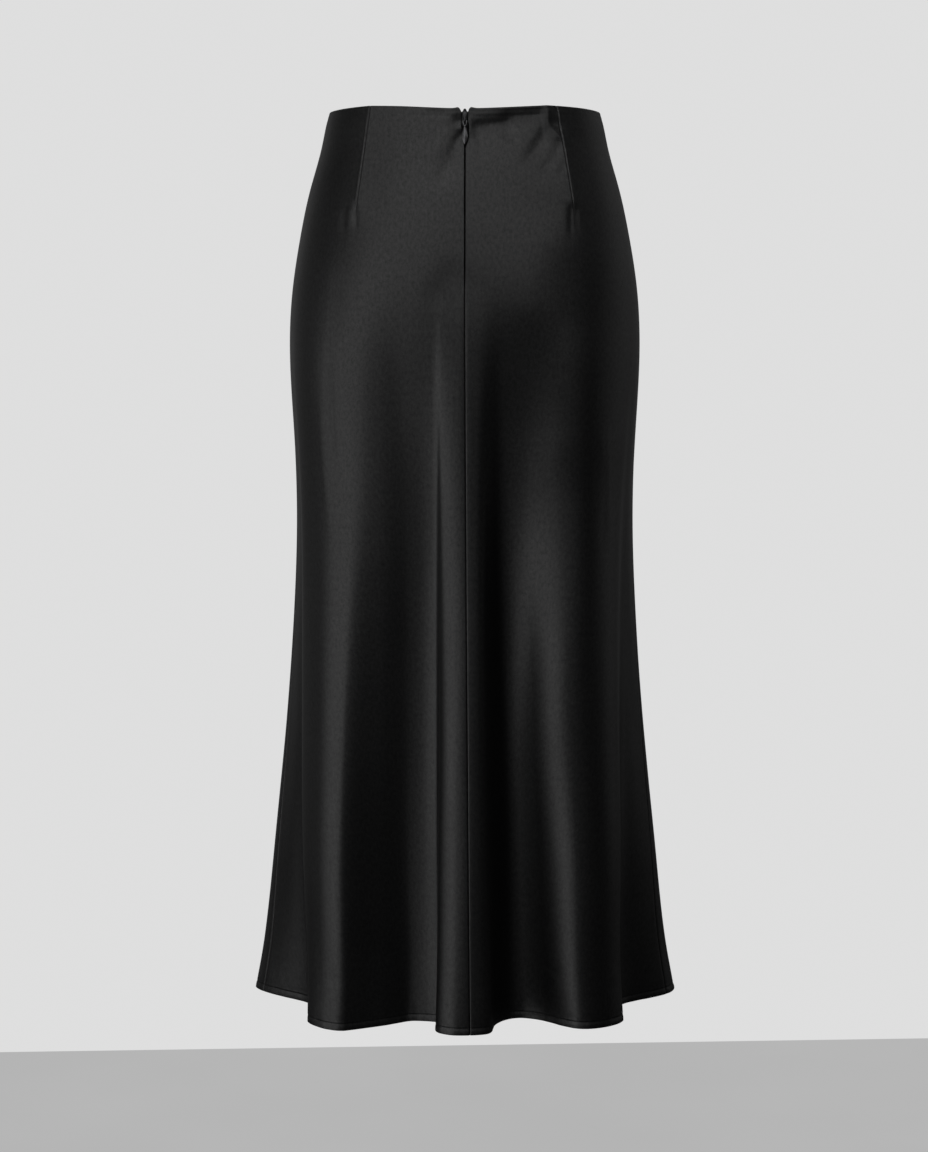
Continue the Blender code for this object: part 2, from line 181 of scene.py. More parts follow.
def oval(angle, height):
    """Smooth section: angle 0 is the centre back, a quarter turn the right side."""
    w, back, front, k = spline(-section_table[:, 0], section_table[:, 1:], -height).T
    x = w * (np.sin(angle) + k * np.sin(3 * angle)) / (1 - k)
    c = (np.cos(angle) - k * np.cos(3 * angle)) / (1 - k)
    return np.stack([x, np.where(c > 0, -back * c, -front * c)], -1)


turn = np.linspace(0, TAU, 2881)
hip_ring = oval(turn, np.full_like(turn, HIP))
hip_run = np.append(0.0, np.cumsum(np.linalg.norm(np.diff(hip_ring, axis=0), axis=1)))
QUARTERS = np.interp(np.linspace(0, TAU, 5), turn, hip_run)


def hip_angle(share):
    """Angle of a share of the hip's girth, each quarter counting the same."""
    run = np.interp(np.mod(share, 1.0), np.linspace(0, 1, 5), QUARTERS)
    return np.interp(run, hip_run, turn)


hem_ring = fold_table[:, -2:]
hem_steps = np.linalg.norm(np.roll(hem_ring, -1, axis=0) - hem_ring, axis=1)
fold_u = np.append(0.0, np.cumsum(hem_steps))[:-1] / hem_steps.sum()
fold_at = dict(zip([row[0] for row in FOLDS], fold_u))
fold_angles = hip_angle(fold_table[:, 0])
station_t = [(FOLD_START - z) / (FOLD_START - HEM) for z in STATIONS]
pushes = [fold_table[:, 1 + 2 * k:3 + 2 * k] - oval(fold_angles, np.full(len(FOLDS), z))
          for k, z in enumerate(STATIONS)]


def surface(u, z):
    """Middle of the cloth: u runs once round from the centre back, z is the height."""
    u, z = np.broadcast_arrays(np.asarray(u, float), np.asarray(z, float))
    shape, u, z = u.shape, np.mod(u.ravel(), 1.0), z.ravel()
    t = np.clip((FOLD_START - z) / (FOLD_START - HEM), 0, None)[:, None]
    xy = oval(hip_angle(hip_share(u)), z)
    for push, here in zip(pushes, station_t):
        weight = (t / here)**1.5
        for other in station_t:
            if other != here:
                weight = weight * (t - other) / (here - other)
        xy = xy + weight * ring_spline(fold_u, push, u)
    return np.concatenate([xy, z[:, None]], 1).reshape(shape + (3,))


def hip_share(u):
    """Share of the hip's girth where the line through u starts."""
    return rising(np.append(fold_u, 1.0), np.append(fold_table[:, 0], 1.0), np.mod(u, 1.0))


def top_height(u):
    """The waist's edge: highest halfway to each side, lower at the seams."""
    share = hip_share(u)
    from_zip = np.abs(np.mod(share + 0.5, 1.0) - 0.5)
    return -0.0043 - 0.0015 * np.cos(4 * TAU * share) + 0.0010 * np.exp(-0.5 * ((from_zip - 0.0085) / 0.0035)**2)


def hem_height(u):
    u = np.asarray(u, float)
    return -LENGTH + 0.0012 * np.sin(2 * math.pi * (3 * u + 0.12)) + 0.0008 * np.sin(2 * math.pi * (5 * u + 0.4))


def row_height(u, drop):
    share = np.clip(drop / LENGTH, 0, 1)
    return top_height(u) * (1 - share) + (hem_height(u) + LENGTH) * share - drop


# the mouth of the zip in mm: drop below the waist's edge, and how far each edge lies from the
# middle.  It is a V at the top, is held open by the slider, and closes below the pull.
MOUTH = [
    ("corner", 0.0, 6.3, 5.4), ("rounding", 0.6, 5.5, 4.7), ("v", 1.5, 4.8, 4.1), ("v_low", 2.6, 4.0, 3.5),
    ("slider_top", 4.2, 3.2, 2.9), ("slider", 7.0, 3.1, 2.8), ("slider_low", 11.0, 3.0, 2.7),
    ("prongs", 14.0, 3.1, 3.3), ("prongs_low", 17.0, 3.2, 4.1), ("neck", 20.0, 3.0, 4.0), ("drop", 26.0, 2.3, 3.8),
    ("drop_low", 30.0, 1.5, 3.4), ("tip", 33.0, 0.9, 2.5), ("closing", 35.5, 0.55, 1.1), ("closed", 38.0, 0.42, 0.50),
    ("over_zip", 45.0, 0.40, 0.42), ("zip_low", 155.0, 0.34, 0.36), ("zip_end", 170.0, 0.10, 0.12),
    ("sewn", 176.0, 0.0, 0.0), ("end", 910.0, 0.0, 0.0)]
mouth_table = np.array([row[1:] for row in MOUTH]) / 1000


def mouth(drop, side):
    """How far the edge of the zip's mouth lies from the middle (side 1 is the right)."""
    return float(np.interp(drop, mouth_table[:, 0], mouth_table[:, 2 if side > 0 else 1]))


# ================================================================ small shape helpers
def bump(x, width):
    return np.exp(-0.5 * (x / width) ** 2)


def smooth(x, low, high):
    t = np.clip((x - low) / (high - low), 0, 1)
    return t * t * (3 - 2 * t)


def soft_line(a, z, start, end, bend, width, height, head=0.25, tail=0.25, slack=1.0):
    """A soft ridge (or trough, below 0) along a bowed line from start to end, in mm on the cloth.

    a is the way round from the centre back or front and z the height.  head and tail are the
    shares of the length over which it fades in and out, bend bows it to one side, and slack is
    how many times wider its lower flank is than its upper one.
    """
    start, end = np.array(start) / 1000, np.array(end) / 1000
    along = end - start
    long = np.hypot(*along)
    side = np.array([-along[1], along[0]]) / long
    t = np.clip(((a - start[0]) * along[0] + (z - start[1]) * along[1]) / long**2, 0, 1)
    bow = bend / 1000 * 4 * t * (1 - t)
    near_a = start[0] + along[0] * t + side[0] * bow
    near_z = start[1] + along[1] * t + side[1] * bow
    away = np.hypot(a - near_a, z - near_z)
    fade = smooth(t, 0, head) * smooth(1 - t, 0, tail) if head and tail else 1.0
    below = ((a - near_a) * side[0] + (z - near_z) * side[1]) * math.copysign(1.0, side[1]) < 0
    return height / 1000 * fade * bump(away, np.where(below, width * slack, width) / 1000)


# Creases on the back, in mm: way round from the centre-back seam (+ is the right), height.
CREASE_COLUMNS = ("name", "start", "end", "bend", "width", "height", "head", "tail", "slack (1 if left out)")
CREASES_BACK = [
    ("zip_drag_left", (-1.8, -25.5), (-29, -86), 2.0, 5.0, -2.40, 0.08, 0.62, 1.4),
    ("zip_drag_left_lip", (-14, -24), (-42, -60), 3.0, 5.0, 0.60, 0.20, 0.50),
    ("zip_drag_left_head", (-0.5, -25.5), (-11, -42), 0.5, 3.0, -1.20, 0.08, 0.60),
    ("zip_pinch_left", (1, -18.8), (-16.5, -17.6), 0.0, 3.9, -2.60, 0.05, 0.60, 1.4),
    ("waist_drag_left", (-16, -12), (-40, -10.5), -0.5, 2.8, -0.45, 0.25, 0.45),
    ("zip_drag_right", (3, -26.8), (54, -18.5), 1.0, 5.6, -3.10, 0.20, 0.46, 2.6),
    ("waist_drag_right", (30, -19.5), (82, -12.0), 0.5, 6.8, -2.80, 0.30, 0.16, 2.0),
    ("waist_to_seat_right", (92, -11), (52, -70), 0.5, 5.2, -1.75, 0.14, 0.50, 1.5),
    ("dart_drag_right", (97, -32), (66, -80), 2.5, 4.4, -0.95, 0.12, 0.50),
    ("dart_drag_right_low", (100, -54), (84, -80), 1.5, 3.0, -0.35, 0.20, 0.50),
    ("dart_point_right", (105.8, -95), (104.8, -138), 0.0, 3.2, -1.60, 0.18, 0.62, 2.0),
    ("dart_point_right_lip", (113.6, -100), (115.4, -122), 0.0, 2.2, 0.30, 0.25, 0.60),
    ("dart_point_left", (-120.4, -100), (-122.0, -134), 0.0, 2.9, -0.55, 0.25, 0.60),
    ("dart_point_left_lip", (-114.6, -99), (-115.5, -126), 0.0, 2.7, 0.80, 0.20, 0.60),
    ("dart_point_left_line", (-108.2, -94), (-107.4, -126), 0.0, 1.6, -0.80, 0.08, 0.50),
    ("seat_right", (90, -95), (54, -255), 0.0, 24.0, 2.30, 0.30, 0.40, 2.0),
    ("seat_right_crest", (108, -200), (103, -385), 0.0, 20.0, 2.40, 0.30, 0.35, 2.5),
    ("seat_drag_left", (-2, -150), (-38, -198), 2.0, 10.0, -1.10, 0.30, 0.35, 2.0),
    ("seat_left", (-86, -105), (-136, -290), 0.0, 22.0, 1.40, 0.35, 0.40),
    ("hip_line_left", (-124, -190), (-113, -360), -3.0, 4.6, 0.42, 0.30, 0.40),
    ("hip_line_left_2", (-138, -215), (-131, -420), -2.0, 4.0, -0.40, 0.30, 0.40),
    ("hip_line_left_3", (-150, -260), (-144, -440), -2.0, 3.4, 0.34, 0.35, 0.35),
    ("hip_line_left_4", (-131, -150), (-127, -250), 2.0, 5.0, -0.45, 0.35, 0.40),
    ("hip_line_right", (134, -300), (147, -420), 2.0, 3.4, 0.36, 0.30, 0.35),
    ("hip_line_right_2", (140, -290), (160, -440), 2.0, 3.0, 0.34, 0.35, 0.30),
    ("hip_line_right_3", (138, -330), (150, -450), 2.0, 3.0, -0.28, 0.35, 0.35),
    ("flute_left", (-67, -260), (-113, -1000), 0.0, 22.0, 8.00, 0.25, 0.05),
    ("flute_right", (112, -150), (128, -740), 0.0, 20.0, 3.80, 0.25, 0.35),
    ("flute_right_hollow", (60, -190), (84, -640), 0.0, 22.0, -2.50, 0.30, 0.30),
    ("hem_pinch_right", (116, -842), (144, -849), -1.5, 2.2, -0.32, 0.25, 0.45),
    ("hem_pinch_right_lip", (118, -848), (142, -854), -1.0, 2.4, 0.20, 0.25, 0.45),
    ("hem_soft_left", (-124, -860), (-112, -866), 1.0, 2.6, -0.28, 0.35, 0.40),
    ("hem_soft_left_2", (-140, -832), (-129, -836), 1.0, 3.0, -0.18, 0.35, 0.40),
    ("flare_soft_left", (-196, -845), (-188, -862), 1.0, 3.6, -0.35, 0.35, 0.40),
    ("flare_soft_left_2", (-181, -770), (-177, -792), 1.0, 3.2, -0.30, 0.35, 0.40),
    ("flare_soft_right", (196, -856), (206, -846), 1.0, 2.8, 0.25, 0.35, 0.40),
]
CREASES_FRONT = [
    ("waist_drag_left", (-92, -8), (-42, -34), 2.0, 3.6, -0.70, 0.15, 0.50),
    ("waist_drag_left_lip", (-96, -16), (-56, -42), 2.0, 4.0, 0.35, 0.25, 0.50),
    ("waist_drag_right", (94, -8), (50, -28), -2.0, 4.0, -0.65, 0.15, 0.50),
    ("waist_drag_middle", (-30, -9), (26, -13), 2.0, 3.2, -0.45, 0.30, 0.35),
    ("lap_left", (-96, -140), (-24, -178), 6.0, 9.0, -0.60, 0.35, 0.40),
    ("lap_right", (100, -150), (30, -182), -5.0, 8.0, -0.50, 0.35, 0.40),
    ("hip_line_left", (-118, -120), (-112, -320), 2.0, 4.5, 0.16, 0.35, 0.35),
    ("hip_line_right", (121, -140), (118, -300), -2.0, 4.0, 0.14, 0.35, 0.35),
]

# Back darts: way round from the centre-back seam at the waist and at the point, and its drop (mm).
# The cloth stands proud at a dart by height, falling to nothing over the width on either side.
DART_COLUMNS = ("name", "waist", "point", "drop", "height", "outer", "inner", "fade")
DARTS = [("dart_right", 91.3, 107.2, 98.0, 2.85, 32, 34, 45), ("dart_left", -94.1, -107.6, 98.0, 1.75, 30, 23, 22)]

EDGE_ROLL, EDGE_HIGH = 0.00055, 0.00085    # a turned edge at the waist and the hem: depth and height
SEAM_ROLL = 0.00060              # and where a panel turns in at a seam
ALLOWANCE = 0.0024               # how far the turned edge goes inside
CLOTH = 0.00045                  # one thickness of satin
HEM_TURN, HEM_THICK = 0.0086, 0.0012
WAIST_TURN, WAIST_THICK = 0.0080, 0.0011
ROLL_STEPS = [82, 66, 50, 34, 18]

near_edge = [0.25, 0.5, 0.8, 1.15, 1.6, 2.2, 3.0, 4.0, 5.2, 6.6]
roll_rows = [EDGE_HIGH * (1 - math.sin(math.radians(s))) for s in ROLL_STEPS]
top_rows = roll_rows + [0.00085, 0.0011] + [v / 1000 for v in (
    1.4, 1.8, 2.4, 3.1, 3.9, 4.7, 5.6, 6.5, 7.2, 7.7, 8.1, 8.6, 9.3, 10.1, 10.9, 11.6, 12.2, 12.8,
    13.6, 14.6, 15.8, 17.0)]
low_rows = [v / 1000 for v in (
    0.85, 1.1, 1.4, 1.9, 2.7, 3.6, 4.6, 5.4, 6.0, 6.4, 6.7, 7.0, 7.3, 7.7, 8.2, 8.55, 8.9, 9.4,
    10.2, 11.4, 13.0, 15.0)]
middle = list(np.linspace(top_rows[-1], 0.0600, 28)[1:]) \
    + list(np.linspace(0.0600, LENGTH - low_rows[-1], 282)[1:-1])
DROPS = np.array(top_rows + middle + [LENGTH - v for v in reversed(low_rows)]
                 + [LENGTH - v for v in reversed(roll_rows)])
rows_from_hem = LENGTH - DROPS


def edge_depth(distance):
    """How far the outside has turned in, this far from a turned edge."""
    d = np.clip(1 - distance / EDGE_HIGH, 0, 1)
    return EDGE_ROLL * (1 - np.sqrt(np.clip(1 - d**2, 0, None)))


def spread(length, lines, counts):
    """Places along a row: close together at both ends and at the lines, even between them."""
    stops = [0.0] + list(lines) + [length]
    places = []
    for k, (low, high) in enumerate(zip(stops[:-1], stops[1:])):
        near_low = [v / 1000 for v in (near_edge if k == 0 else near_line)]
        near_high = [v / 1000 for v in (near_edge if k == len(stops) - 2 else near_line)]
        span = np.linspace(low + near_low[-1], high - near_high[-1], counts[k] + 2)
        if k:
            places.append([low])
        places += [low + np.array(near_low[:-1]), span, high - np.array(near_high[-2::-1])]
    return np.concatenate(places)


near_line = [0.3, 0.6, 0.95, 1.4, 2.0, 2.8, 3.8, 5.0]


class Panel:
    """A cut piece of cloth on the surface: its grid of points, and where each lies on the cloth."""

    def __init__(self, u_from, u_to, counts, lines, cut_from, cut_to, zero):
        fine = np.linspace(u_from, u_to, 1001)
        heights = row_height(fine[None, :], DROPS[:, None])
        path = surface(np.broadcast_to(fine, heights.shape), heights)
        step = np.linalg.norm(np.diff(path, axis=1), axis=2)
        run = np.concatenate([np.zeros((len(DROPS), 1)), np.cumsum(step, axis=1)], 1)
        roll = SEAM_ROLL * (1 - np.sin(np.radians(ROLL_STEPS)))
        meet = 0.8 * SEAM_HALF            # the allowances close up behind the line of the seam
        self.depth_col, u, arc = None, [], []
        for r, drop in enumerate(DROPS):
            start = SEAM_HALF + (mouth(drop, 1) if cut_from else 0.0)
            end = run[r, -1] - SEAM_HALF - (mouth(drop, -1) if cut_to else 0.0)
            marks = [line(drop, run[r, -1]) - start for line in lines]
            inner = spread(end - start - 2 * SEAM_ROLL, [m - SEAM_ROLL for m in marks], counts)
            place = np.concatenate([[-meet, 0], roll, [SEAM_ROLL], SEAM_ROLL + inner,
                                    [end - start - SEAM_ROLL], end - start - roll[::-1],
                                    [end - start, end - start + meet]])
            u.append(np.interp(start + place, run[r], fine))
            arc.append(start + place)
        self.u, arc = np.array(u), np.array(arc)
        turn_in = SEAM_ROLL * (1 - np.cos(np.radians(ROLL_STEPS)))
        flat = np.zeros(self.u.shape[1] - 2 * (len(ROLL_STEPS) + 3))
        self.depth_col = np.concatenate([[SEAM_ROLL + ALLOWANCE, SEAM_ROLL], turn_in, [0], flat,
                                         [0], turn_in[::-1], [SEAM_ROLL, SEAM_ROLL + ALLOWANCE]])
        self.z = row_height(self.u, DROPS[:, None])
        self.point = surface(self.u, self.z)
        across = surface(self.u + 1e-4, self.z) - surface(self.u - 1e-4, self.z)
        down = surface(self.u, self.z - 1e-3) - surface(self.u, self.z + 1e-3)
        n = np.cross(down, across)
        self.normal = n / np.linalg.norm(n, axis=-1, keepdims=True)
        self.side = across / np.linalg.norm(across, axis=-1, keepdims=True)
        self.from_start, self.from_end = arc, run[:, -1:] - arc
        whole = run[:, -1:]
        self.arc = {"start": arc, "end": arc - whole, "middle": arc - whole / 2}[zero]
        self.drop = np.broadcast_to(DROPS[:, None], arc.shape)
        self.up = LENGTH - self.drop
        self.push = np.zeros(arc.shape)


def vertex_normals(grid):
    """Area-weighted normals of a grid whose rows run down and whose columns run round."""
    a, b = grid[1:, 1:] - grid[:-1, :-1], grid[:-1, 1:] - grid[1:, :-1]
    face = np.cross(a, b)
    n = np.zeros_like(grid)
    for r in (slice(0, -1), slice(1, None)):
        for c in (slice(0, -1), slice(1, None)):
            n[r, c] += face
    return n / np.maximum(np.linalg.norm(n, axis=-1, keepdims=True), 1e-20)


def shell_mesh(name, panel, inner_every=2):
    """Closed thin shell of a panel: dense outside, coarser inside, edges turned."""
    body = panel.point + (panel.push - panel.depth_col[None, :] + CLOTH / 2)[..., None] * panel.normal
    n = vertex_normals(body)
    deep = np.maximum(edge_depth(DROPS), edge_depth(rows_from_hem))
    thick = CLOTH + (WAIST_THICK - CLOTH) * (1 - smooth(DROPS, WAIST_TURN, WAIST_TURN + 0.0006)) \
        + (HEM_THICK - CLOTH) * (1 - smooth(rows_from_hem, HEM_TURN - 0.0002, HEM_TURN + 0.0004))
    # the turned allowances at a seam stay one thickness of cloth
    lap = smooth(np.minimum(panel.from_start, panel.from_end), 0.0004, 0.0016)
    thick = CLOTH + (thick[:, None] - CLOTH) * lap
    deep = np.minimum(deep[:, None], thick * 0.49)
    outer = body - deep[..., None] * n
    inner = body - (thick - deep)[..., None] * n
    rows, cols = panel.u.shape
    keep_c = sorted(set(list(range(0, cols, inner_every)) + [cols - 1, 1, cols - 2]))
    keep_r = sorted(set(list(range(len(top_rows) + 1)) + list(range(len(top_rows), rows - 32, inner_every))
                        + list(range(rows - 32, rows))))
    index = -np.ones((rows, cols), int)
    index[np.ix_(keep_r, keep_c)] = rows * cols + np.arange(len(keep_r) * len(keep_c)).reshape(
        len(keep_r), len(keep_c))
    verts = np.concatenate([outer.reshape(-1, 3), inner[np.ix_(keep_r, keep_c)].reshape(-1, 3)])
    o = np.arange(rows * cols).reshape(rows, cols)
    faces = np.stack([o[:-1, :-1], o[1:, :-1], o[1:, 1:], o[:-1, 1:]], -1).reshape(-1, 4).tolist()
    outside = len(faces)
    i = index[np.ix_(keep_r, keep_c)]
    faces += np.stack([i[:-1, :-1], i[:-1, 1:], i[1:, 1:], i[1:, :-1]], -1).reshape(-1, 4).tolist()

    def stitch(outer_line, inner_line, kept, flip):
        for a, b in zip(kept[:-1], kept[1:]):
            half = (a + b + 1) // 2
            for k in range(a, b):
                near = inner_line[a] if k < half else inner_line[b]
                tri = [outer_line[k], outer_line[k + 1], near]
                faces.append(tri[::-1] if flip else tri)
            tri = [outer_line[half], inner_line[b], inner_line[a]]
            faces.append(tri[::-1] if flip else tri)

    stitch(o[0], index[0], keep_c, False)
    stitch(o[-1], index[-1], keep_c, True)
    stitch(o[:, 0], index[:, 0], keep_r, True)
    stitch(o[:, -1], index[:, -1], keep_r, False)
    mesh = bpy.data.meshes.new(name)
    mesh.from_pydata(verts.tolist(), [], faces)
    mesh.shade_smooth()
    place = np.stack([panel.arc, panel.drop], -1)
    place = np.concatenate([place.reshape(-1, 2), place[np.ix_(keep_r, keep_c)].reshape(-1, 2)])
    loops = np.zeros(len(mesh.loops), int)
    mesh.loops.foreach_get("vertex_index", loops)
    uv = mesh.uv_layers.new(name="cloth")
    uv.data.foreach_set("uv", place[loops].ravel())
    material_index = np.ones(len(faces), np.int32)
    material_index[:outside] = 0
    mesh.polygons.foreach_set("material_index", material_index)
    mesh.update()
    return mesh, outer


# ================================================================ materials
def material(name, base, roughness, metallic=0.0, specular=0.5, sheen=0.0, coat=0.0):
    mat = bpy.data.materials.new(name)
    mat.use_nodes = True
    nodes, links = mat.node_tree.nodes, mat.node_tree.links
    shader = nodes["Principled BSDF"]
    shader.inputs["Base Color"].default_value = (*base, 1.0)
    shader.inputs["Roughness"].default_value = roughness
    shader.inputs["Metallic"].default_value = metallic
    shader.inputs["Specular IOR Level"].default_value = specular
    shader.inputs["Sheen Weight"].default_value = sheen
    shader.inputs["Sheen Roughness"].default_value = 0.45
    shader.inputs["Coat Weight"].default_value = coat
    shader.inputs["Coat Roughness"].default_value = 0.25
    return mat, nodes, links, shader


def add_node(nodes, kind, **values):
    node = nodes.new(kind)
    for key, value in values.items():
        if key in node.inputs:
            node.inputs[key].default_value = value
        else:
            setattr(node, key, value)
    return node


def ranged(nodes, links, source, low, high, from_low=0.3, from_high=0.7):
    """A texture's value spread over a range."""
    node = nodes.new("ShaderNodeMapRange")
    node.inputs["From Min"].default_value = from_low
    node.inputs["From Max"].default_value = from_high
    node.inputs["To Min"].default_value = low
    node.inputs["To Max"].default_value = high
    links.new(source, node.inputs["Value"])
    return node.outputs["Result"]


def cloth_material(name, tint, rough, sheen, specular, weave=1.0):
    """Satin: long floats of warp over a fine weft, with a slightly uneven sheen."""
    mat, nodes, links, shader = material(name, tint, rough, specular=specular, sheen=sheen)
    place = add_node(nodes, "ShaderNodeUVMap", uv_map="cloth")
    # floats: short bright runs along the warp, each about 0.25 mm wide and 1.3 mm long
    stretch = add_node(nodes, "ShaderNodeMapping")
    stretch.inputs["Scale"].default_value = (4200.0, 760.0, 1.0)
    stretch.inputs["Rotation"].default_value = (0.0, 0.0, math.radians(45))
    links.new(place.outputs["UV"], stretch.inputs["Vector"])
    floats = add_node(nodes, "ShaderNodeTexNoise", Scale=1.0, Detail=2.0, Roughness=0.55)
    links.new(stretch.outputs["Vector"], floats.inputs["Vector"])
    cross = add_node(nodes, "ShaderNodeMapping")
    cross.inputs["Scale"].default_value = (900.0, 2600.0, 1.0)
    cross.inputs["Rotation"].default_value = (0.0, 0.0, math.radians(45))
    links.new(place.outputs["UV"], cross.inputs["Vector"])
    weft = add_node(nodes, "ShaderNodeTexNoise", Scale=1.0, Detail=1.0)
    links.new(cross.outputs["Vector"], weft.inputs["Vector"])
    both = add_node(nodes, "ShaderNodeMath", operation="MULTIPLY_ADD")
    links.new(weft.outputs["Fac"], both.inputs[0])
    both.inputs[1].default_value = 0.45
    links.new(floats.outputs["Fac"], both.inputs[2])
    fine = add_node(nodes, "ShaderNodeBump", Strength=0.50 * weave, Distance=0.00012)
    links.new(both.outputs[0], fine.inputs["Height"])
    # the slight unevenness of pressed cloth
    ripple = add_node(nodes, "ShaderNodeTexNoise", Scale=34.0, Detail=3.0, Roughness=0.5)
    links.new(place.outputs["UV"], ripple.inputs["Vector"])
    soft = add_node(nodes, "ShaderNodeBump", Strength=0.09, Distance=0.0010)
    links.new(ripple.outputs["Fac"], soft.inputs["Height"])
    links.new(fine.outputs["Normal"], soft.inputs["Normal"])
    links.new(soft.outputs["Normal"], shader.inputs["Normal"])
    wide = add_node(nodes, "ShaderNodeTexNoise", Scale=9.0, Detail=2.0, Roughness=0.5)
    links.new(place.outputs["UV"], wide.inputs["Vector"])
    links.new(ranged(nodes, links, wide.outputs["Fac"], rough - 0.02, rough + 0.02),
              shader.inputs["Roughness"])
    tone = add_node(nodes, "ShaderNodeMix", data_type="RGBA")
    tone.inputs["A"].default_value = (*[c * 0.75 for c in tint], 1.0)
    tone.inputs["B"].default_value = (*[c * 1.25 for c in tint], 1.0)
    links.new(floats.outputs["Fac"], tone.inputs["Factor"])
    links.new(tone.outputs["Result"], shader.inputs["Base Color"])
    # how strongly each patch of threads shines, uneven at every size from a float to a hand's width
    lengthways = add_node(nodes, "ShaderNodeMapping")
    lengthways.inputs["Scale"].default_value = (1.0, 0.6, 1.0)
    links.new(place.outputs["UV"], lengthways.inputs["Vector"])
    shine = add_node(nodes, "ShaderNodeTexNoise", Scale=330.0, Detail=4.0, Roughness=0.85)
    links.new(lengthways.outputs["Vector"], shine.inputs["Vector"])
    links.new(ranged(nodes, links, shine.outputs["Fac"], specular * 0.60, specular * 1.40, 0.25, 0.75),
              shader.inputs["Specular IOR Level"])
    return mat


satin = cloth_material("black_satin", (0.0016, 0.0016, 0.0018), 0.43, 0.0, 0.5)
satin_inside = cloth_material("satin_reverse", (0.0060, 0.0060, 0.0064), 0.62, 0.05, 0.35, 1.6)


def thread_material():
    mat, nodes, links, shader = material("thread", (0.002, 0.002, 0.0022), 0.55, specular=0.2)
    where = add_node(nodes, "ShaderNodeTexCoord")
    twist = add_node(nodes, "ShaderNodeTexWave", Scale=900.0, Distortion=1.5, Detail=1.0)
    twist.bands_direction = "DIAGONAL"
    links.new(where.outputs["Object"], twist.inputs["Vector"])
    raised = add_node(nodes, "ShaderNodeBump", Strength=0.5, Distance=0.00008)
    links.new(twist.outputs["Fac"], raised.inputs["Height"])
    links.new(raised.outputs["Normal"], shader.inputs["Normal"])
    return mat


def tape_material():
    mat, nodes, links, shader = material("zip_tape_weave", (0.0035, 0.0035, 0.0038), 0.85, specular=0.15)
    where = add_node(nodes, "ShaderNodeTexCoord")
    ribs = add_node(nodes, "ShaderNodeTexWave", Scale=420.0, Distortion=0.6, Detail=1.0)
    ribs.bands_direction = "Z"
    links.new(where.outputs["Object"], ribs.inputs["Vector"])
    fuzz = add_node(nodes, "ShaderNodeTexNoise", Scale=2600.0, Detail=2.0)
    links.new(where.outputs["Object"], fuzz.inputs["Vector"])
    sum_ = add_node(nodes, "ShaderNodeMath", operation="ADD")
    links.new(ribs.outputs["Fac"], sum_.inputs[0])
    links.new(fuzz.outputs["Fac"], sum_.inputs[1])
    raised = add_node(nodes, "ShaderNodeBump", Strength=0.6, Distance=0.0002)
    links.new(sum_.outputs[0], raised.inputs["Height"])
    links.new(raised.outputs["Normal"], shader.inputs["Normal"])
    return mat


def metal_material(name, base, rough, metallic, coat):
    mat, nodes, links, shader = material(name, base, rough, metallic=metallic, coat=coat)
    where = add_node(nodes, "ShaderNodeTexCoord")
    grain = add_node(nodes, "ShaderNodeTexNoise", Scale=1500.0, Detail=3.0)
    links.new(where.outputs["Object"], grain.inputs["Vector"])
    links.new(ranged(nodes, links, grain.outputs["Fac"], rough - 0.04, rough + 0.05),
              shader.inputs["Roughness"])
    wear = add_node(nodes, "ShaderNodeTexNoise", Scale=420.0, Detail=2.0)
    links.new(where.outputs["Object"], wear.inputs["Vector"])
    tone = add_node(nodes, "ShaderNodeMix", data_type="RGBA")
    tone.inputs["A"].default_value = (*[c * 0.8 for c in base], 1.0)
    tone.inputs["B"].default_value = (*[c * 1.2 for c in base], 1.0)
    links.new(wear.outputs["Fac"], tone.inputs["Factor"])
    links.new(tone.outputs["Result"], shader.inputs["Base Color"])
    raised = add_node(nodes, "ShaderNodeBump", Strength=0.15, Distance=0.00003)
    links.new(grain.outputs["Fac"], raised.inputs["Height"])
    links.new(raised.outputs["Normal"], shader.inputs["Normal"])
    return mat


thread = thread_material()
tape_weave = tape_material()
slider_lacquer = metal_material("slider_lacquer", (0.010, 0.010, 0.011), 0.42, 0.3, 0.0)
bridge_lacquer = metal_material("bridge_lacquer", (0.033, 0.033, 0.035), 0.35, 0.85, 0.1)
pull_lacquer = metal_material("pull_lacquer", (0.105, 0.105, 0.109), 0.30, 0.9, 0.2)


def add_piece(name, mesh, mats, body):
    obj = bpy.data.objects.new(name, mesh)
    scene.collection.objects.link(obj)
    for mat in mats:
        obj.data.materials.append(mat)
    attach(obj, body)
    return obj


# ================================================================ panels
u_right, u_left = float(fold_at["side_right"]), float(fold_at["side_left"])


def dart_line(row, back_to_side):
    """Where a dart's line lies along a row, and below its point the same share of the panel."""
    waist, point, drop = row[1:4]
    waist, point, drop = abs(waist) / 1000, abs(point) / 1000, drop / 1000
    tip_run = 0.0

    def place(at, whole):
        t = min(at / drop, 1.0)
        from_centre = waist + (point - waist) * t
        if at > drop:
            from_centre = point + (whole - dart_whole[row[0]]) * point / dart_whole[row[0]]
        return from_centre if back_to_side else whole - from_centre
    return place


def row_length(u_from, u_to, drop):
    u = np.linspace(u_from, u_to, 1001)
    p = surface(u, row_height(u, drop))
    return float(np.linalg.norm(np.diff(p, axis=0), axis=1).sum())


dart_whole = {"dart_right": row_length(0.0, u_right, DARTS[0][3] / 1000),
              "dart_left": row_length(u_left, 1.0, DARTS[1][3] / 1000)}

right = Panel(0.0, u_right, (64, 62), [dart_line(DARTS[0], True)], True, False, "start")
left = Panel(u_left, 1.0, (62, 64), [dart_line(DARTS[1], False)], False, True, "end")
front = Panel(u_right, u_left, (196,), [], False, False, "middle")
front.arc = -front.arc            # + is +X, seen from either side

chance = np.random.default_rng(20)


